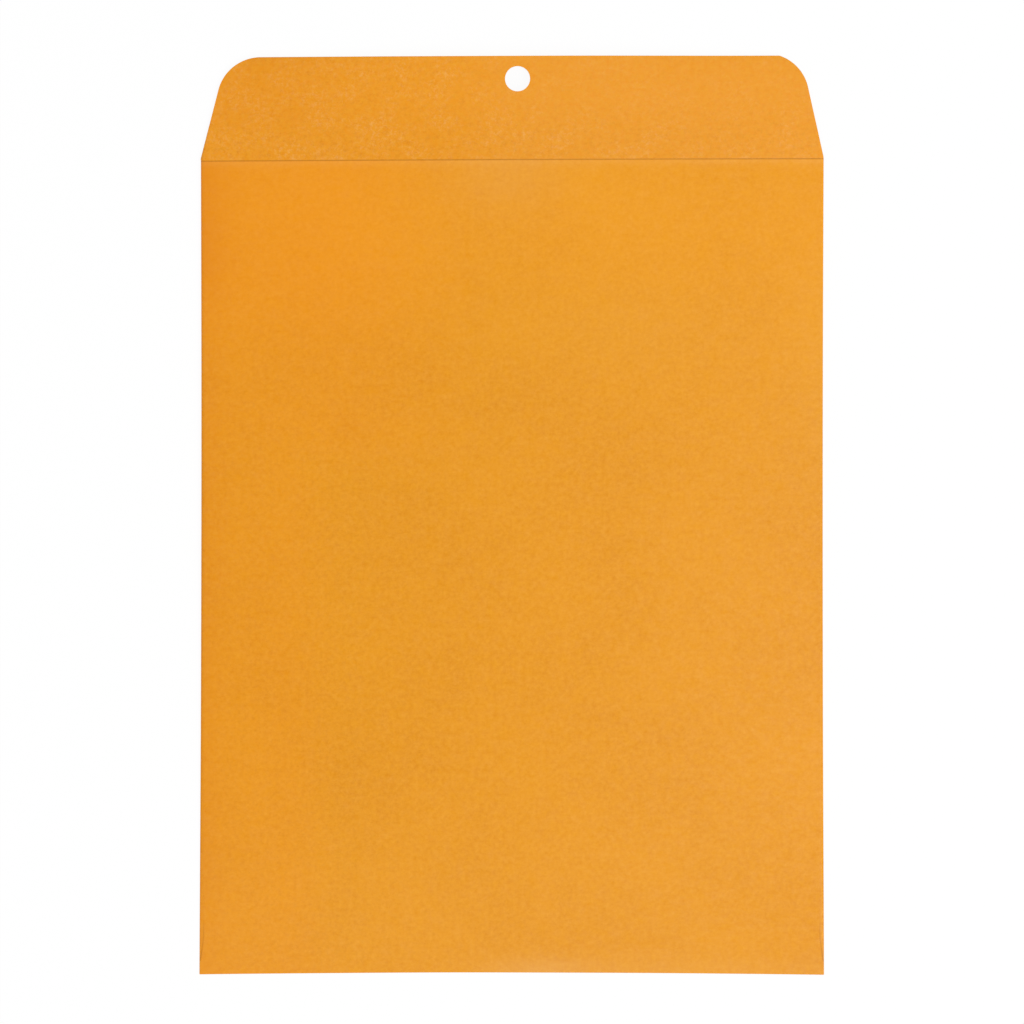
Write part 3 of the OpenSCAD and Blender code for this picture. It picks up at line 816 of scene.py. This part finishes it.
# %% A surface that looks white and is lit like any other
def show_white(tree, out, ordinary, white, most):
    """Puts `white` over the ordinary surface for rays from the camera, from a reflection or through
    glass, so that what the eye meets is white and the light that falls on the envelope is not changed."""
    rays = add_node(tree, "LightPath").outputs
    seen = rays["Is Camera Ray"]
    for other in ("Is Glossy Ray", "Is Transmission Ray"):
        seen = add_node(tree, "Math", {0: seen, 1: rays[other]}, operation="MAXIMUM").outputs[0]
    part = add_node(tree, "Math", {0: seen, 1: most}, operation="MULTIPLY").outputs[0]
    tree.links.new(add_node(tree, "MixShader", {0: part, 1: ordinary, 2: white}).outputs[0], out.inputs[0])


TABLE_GLOW = 0.94
table_white, tree, out = new_material("table_matt_white_paint")
matt = add_node(tree, "BsdfDiffuse", {"Color": linear("#FFFFFF")}).outputs[0]
glow = add_node(tree, "Emission", {"Color": linear("#FFFFFF"), "Strength": 1.0}).outputs[0]
show_white(tree, out, matt, glow, TABLE_GLOW)
print(f"the table keeps {1 - TABLE_GLOW:.0%} of its shadows")

# %% The table
TABLE_R, TABLE_Z, TABLE_POINTS = 8.0, -0.02 * MM, 96  # in metres, just below the lowest paper
turn = np.linspace(0, 2 * np.pi, TABLE_POINTS + 1)[:-1]
disc = np.stack([TABLE_R * np.cos(turn), TABLE_R * np.sin(turn), 0 * turn + TABLE_Z], 1)
table_mesh = bpy.data.meshes.new("table")
table_mesh.from_pydata(disc.tolist(), [], [list(range(len(disc)))])
table_mesh.materials.append(table_white)
table = bpy.data.objects.new("table", table_mesh)
bpy.context.scene.collection.objects.link(table)
print(f"table {2 * TABLE_R:.0f} m across")

# %% The world: a large white studio that gives more than half of the light
WORLD_LIGHT = 0.62
world = bpy.data.worlds.new("studio")
bpy.context.scene.world = world
world.use_nodes = True
tree = world.node_tree
tree.nodes.clear()
soft = add_node(tree, "Background", {"Color": linear("#FFFFFF"), "Strength": WORLD_LIGHT}).outputs[0]
white = add_node(tree, "Background", {"Color": linear("#FFFFFF"), "Strength": 1.0}).outputs[0]
show_white(tree, tree.nodes.new("ShaderNodeOutputWorld"), soft, white, 1.0)
print(f"world at {WORLD_LIGHT:.0%} of full light")

# %% [markdown]
# ## Lamps and camera
#
# A soft lamp near the camera, to the right, gives the sheen that grows towards that side, and a large
# far one to the lower right models the folds. The camera looks straight down, as in the photograph,
# and its lens is worked out from the width that the photograph takes in.

# %% Lamps
def soft_lamp(name, place, size, watts):
    """A square area lamp that faces the middle of the envelope. Its light falls off with the square of
    the distance, so 10 W at 1.5 m lights paper to about 0.45 of its written colour."""
    data = bpy.data.lights.new(name, "AREA")
    data.size, data.energy = size, watts
    lamp = bpy.data.objects.new(name, data)
    lamp.location = place
    lamp.rotation_euler = (-Vector(place)).to_track_quat("-Z", "Y").to_euler()
    lamp.visible_camera = False
    bpy.context.scene.collection.objects.link(lamp)
    return lamp


lamps = [
    soft_lamp("lamp_sheen", (0.85, -0.4, 1.9), 0.7, 13.2),
    soft_lamp("lamp_window", (4.4, -4.6, 6.0), 3.2, 147),
]
print("lamps, m away:", [round(lamp.location.length, 1) for lamp in lamps])

# %% Camera
CAMERA_H, SENSOR_W = 1.5, 36
PHOTO_W, PAPER_Z = 0.4162, 0.0005  # the width that the photograph takes in, at this height, in metres
AIM_X, AIM_Y, AIM_TURN = -0.00002, 0.0014, math.radians(0.04)
camera_data = bpy.data.cameras.new("camera")
camera_data.sensor_width = SENSOR_W
camera_data.lens = SENSOR_W * (CAMERA_H - PAPER_Z) / PHOTO_W
camera_data.clip_start, camera_data.clip_end = 0.01, 50
camera = bpy.data.objects.new("camera", camera_data)
camera.location = (AIM_X, AIM_Y, CAMERA_H)
camera.rotation_euler.z = AIM_TURN
bpy.context.scene.collection.objects.link(camera)
bpy.context.scene.camera = camera
bpy.context.scene.view_settings.view_transform = "Standard"
print("lens, mm:", round(camera_data.lens, 1))
